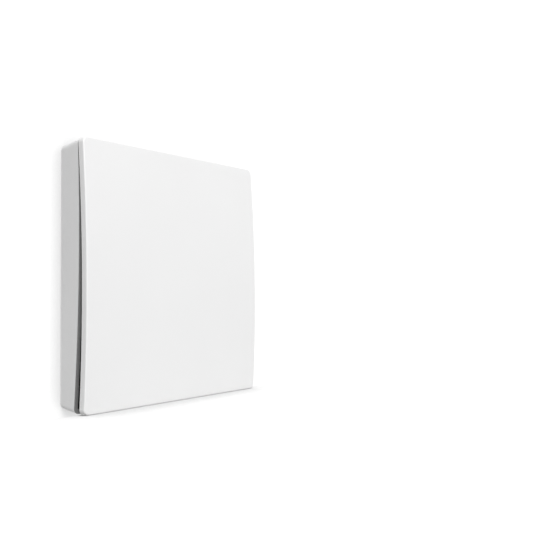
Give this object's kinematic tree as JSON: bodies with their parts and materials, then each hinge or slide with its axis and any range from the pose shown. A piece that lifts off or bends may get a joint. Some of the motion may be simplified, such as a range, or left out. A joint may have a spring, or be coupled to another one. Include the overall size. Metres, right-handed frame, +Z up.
{
  "type": "wireless remote wall switch",
  "caption": "Square surface-mounted wireless wall switch: a bowed rocker hinged at the top of a flat rear base, over a click generator and radio board.",
  "frame": {"origin": "centre of the back face, which lies flat on the wall", "axes": "+X to the right seen from the front, +Y into the wall, +Z up"},
  "size_m": [0.086, 0.0138, 0.086],
  "materials": {
    "white_plastic": "fine satin texture",
    "grey_plastic": "satin",
    "black_plastic": "satin",
    "steel": "zinc plated",
    "rubber": "matte",
    "copper": "enamelled copper",
    "tinned_wire": "tinned",
    "soft_iron": "rolled",
    "nickel_plate": "nickel plated",
    "spring_steel": "polished strip",
    "board_green": "solder mask",
    "capacitor_sleeve": "shrink sleeve"
  },
  "bodies": {
    "base": {"rear_base": "white_plastic", "mechanism_cover": "grey_plastic", "cover_screw_upper_left": "steel", "cover_screw_lower_left": "steel", "cover_screw_upper_right": "steel", "cover_screw_lower_right": "steel", "left_bumper": "rubber", "right_bumper": "rubber", "coil_bobbin": "black_plastic", "coil_winding": "copper", "coil_terminal_inner": "tinned_wire", "coil_terminal_outer": "tinned_wire", "upper_core": "soft_iron", "lower_core": "soft_iron", "return_leaf": "spring_steel", "radio_board": "board_green", "radio_chip": "black_plastic", "crystal": "nickel_plate", "rectifier": "black_plastic", "regulator": "black_plastic", "choke": "black_plastic", "storage_capacitor": "capacitor_sleeve", "antenna_wire": "copper"},
    "rocker": {"rocker": "white_plastic"},
    "carrier": {"magnet_carrier": "black_plastic", "magnet": "nickel_plate", "front_pole_plate": "soft_iron", "rear_pole_plate": "soft_iron", "drive_leaf": "spring_steel"}
  },
  "joints": [
    {"name": "rocker_hinge", "type": "hinge", "parent": "base", "child": "rocker", "pos_m": [0, -0.005, 0.038], "axis": [1, 0, 0], "range_deg": [0, 1.7], "stiffness_Nm_per_rad": 2, "springref_deg": -2.86},
    {"name": "carrier_swing", "type": "hinge", "parent": "base", "child": "carrier", "pos_m": [0, -0.0047, 0], "axis": [1, 0, 0], "range_deg": [-0.3, 5.8], "deforming": ["return_leaf"]}
  ],
  "couplings": [
    {"joint": "carrier_swing", "follows": "rocker_hinge", "ratio": 3.2353}
  ]
}
